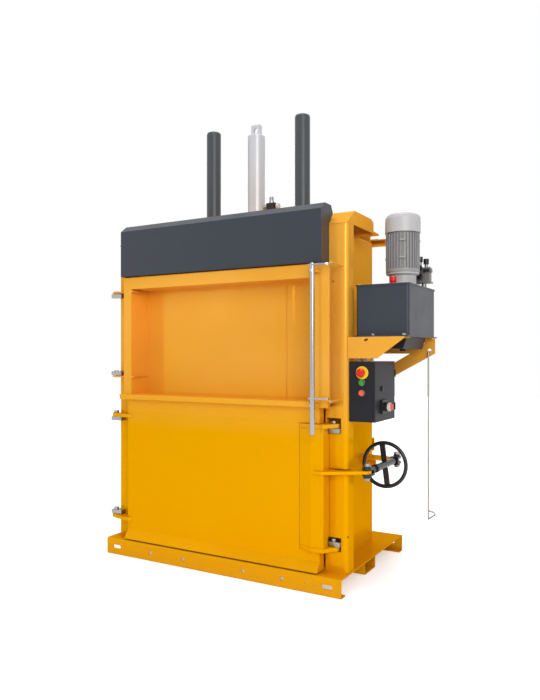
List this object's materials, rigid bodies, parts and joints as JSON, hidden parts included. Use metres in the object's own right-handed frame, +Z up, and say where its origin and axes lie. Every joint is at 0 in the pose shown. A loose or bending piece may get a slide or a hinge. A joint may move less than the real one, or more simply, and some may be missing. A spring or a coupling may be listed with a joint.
{
  "type": "recycling baler",
  "caption": "Upright baling press with a filling door over a bale door, a handwheel-driven lock, a ram between two guide tubes and a power pack on its side.",
  "frame": {"origin": "middle of the base's underside", "axes": "+X to the right seen from the doors, +Y to the back, +Z up"},
  "size_m": [1.703, 0.906, 2.377],
  "materials": {
    "orange": "gloss enamel, orange yellow",
    "black_enamel": "satin enamel, black",
    "dark_grey": "satin enamel, dark grey",
    "black_box": "fine textured powder coat, black",
    "light_grey": "satin enamel, light grey",
    "cylinder_grey": "satin enamel, silver grey",
    "bare_steel": "machined and zinc plated",
    "chromed": "hard chrome, polished",
    "iron": "machined",
    "black_plastic": "moulded",
    "red_plastic": "moulded",
    "green_plastic": "moulded",
    "orange_plastic": "moulded",
    "yellow_plastic": "moulded"
  },
  "bodies": {
    "press": {"back_bracket": "orange", "back_rails": "orange", "back_wall": "orange", "base_frame": "orange", "bell_housing": "light_grey", "button_bezels": "yellow_plastic", "cable_glands": "black_plastic", "centre_beam": "orange", "chamber_floor": "orange", "control_box": "black_box", "cylinder_barrel": "cylinder_grey", "cylinder_gland": "iron", "cylinder_port": "bare_steel", "filler_cap": "red_plastic", "front_bracket": "orange", "guide_bushes": "iron", "head_beam": "orange", "header_cover": "dark_grey", "hinge_blocks": "bare_steel", "hinge_pins": "bare_steel", "hook_tool": "bare_steel", "latch_keepers": "orange", "left_hood": "orange", "left_post": "orange", "left_wall": "orange", "link_arm": "orange", "lock_blocks": "bare_steel", "lock_pins": "bare_steel", "motor_cowl": "light_grey", "motor_housing": "light_grey", "oil_sump": "black_plastic", "oil_tank": "dark_grey", "right_hood": "orange", "right_post": "orange", "right_wall": "orange", "tank_bolts": "bare_steel", "terminal_box": "light_grey", "valve_block": "bare_steel", "valve_coils": "black_plastic"},
    "ram": {"platen": "orange", "guide_tubes": "dark_grey", "piston_rod": "chromed"},
    "filling_door_body": {"filling_door": "orange", "filling_hinge_plates": "orange", "latch_guides": "orange"},
    "latch": {"latch_rod": "chromed"},
    "bale_door_body": {"bale_door": "orange", "bale_hinge_plates": "orange"},
    "lock": {"lock_beam": "orange", "lock_lever": "orange"},
    "link": {"back_fork": "black_enamel"},
    "wheel": {"handwheel": "black_enamel"},
    "screw": {"front_fork": "black_enamel"},
    "lid": {"control_lid": "black_box", "lid_fittings": "black_plastic"},
    "main_switch": {"switch_knob": "red_plastic"},
    "stop": {"stop_button": "red_plastic"},
    "start": {"start_button": "green_plastic"},
    "reset": {"reset_button": "orange_plastic"},
    "fan": {"motor_fan": "black_plastic"}
  },
  "joints": [
    {"name": "ram_slide", "type": "slide", "parent": "press", "child": "ram", "axis": [0, 0, -1], "range_m": [0, 0.6]},
    {"name": "filling_door_hinge", "type": "hinge", "parent": "press", "child": "filling_door_body", "pos_m": [-0.695, -0.358, 1.2], "axis": [0, 0, -1], "range_deg": [0, 120]},
    {"name": "bale_door_hinge", "type": "hinge", "parent": "press", "child": "bale_door_body", "pos_m": [-0.695, -0.358, 0.48], "axis": [0, 0, -1], "range_deg": [0, 120]},
    {"name": "latch_turn", "type": "hinge", "parent": "filling_door_body", "child": "latch", "pos_m": [0.576, -0.464, 1.1], "axis": [0, 0, -1], "range_deg": [0, 90]},
    {"name": "handwheel_spin", "type": "hinge", "parent": "link", "child": "wheel", "pos_m": [0.768, -0.047, 0.555], "axis": [0, 1, 0], "range_deg": [0, 1080]},
    {"name": "lock_hinge", "type": "hinge", "parent": "press", "child": "lock", "pos_m": [0.624, -0.335, 0.48], "axis": [0, 0, 1], "range_deg": [0, 25]},
    {"name": "link_swing", "type": "hinge", "parent": "press", "child": "link", "pos_m": [0.768, 0.133, 0.555], "axis": [0, 0, 1], "range_deg": [-6, 0]},
    {"name": "screw_slide", "type": "slide", "parent": "link", "child": "screw", "axis": [0, 1, 0], "range_m": [0, 0.058]},
    {"name": "lid_hinge", "type": "hinge", "parent": "press", "child": "lid", "pos_m": [0.819, -0.046, 0.925], "axis": [0, 0, 1], "range_deg": [0, 90]},
    {"name": "main_switch_turn", "type": "hinge", "parent": "lid", "child": "main_switch", "pos_m": [0.845, -0.213, 0.853], "axis": [1, 0, 0], "range_deg": [0, 90]},
    {"name": "stop_push", "type": "slide", "parent": "press", "child": "stop", "axis": [0, 1, 0], "range_m": [0, 0.006]},
    {"name": "start_push", "type": "slide", "parent": "press", "child": "start", "axis": [0, 1, 0], "range_m": [0, 0.004], "stiffness_N_per_m": 800, "springref_m": -0.002},
    {"name": "reset_push", "type": "slide", "parent": "press", "child": "reset", "axis": [0, 1, 0], "range_m": [0, 0.004], "stiffness_N_per_m": 800, "springref_m": -0.002},
    {"name": "fan_spin", "type": "hinge", "parent": "press", "child": "fan", "pos_m": [0.87, -0.08, 1.7], "axis": [0, 0, 1], "continuous": true}
  ],
  "couplings": [
    {"joint": "lock_hinge", "follows": "handwheel_spin", "ratio": 0.023148},
    {"joint": "link_swing", "follows": "handwheel_spin", "ratio": -0.0046296},
    {"joint": "screw_slide", "follows": "handwheel_spin", "m_per_rad": 0.0029974}
  ]
}
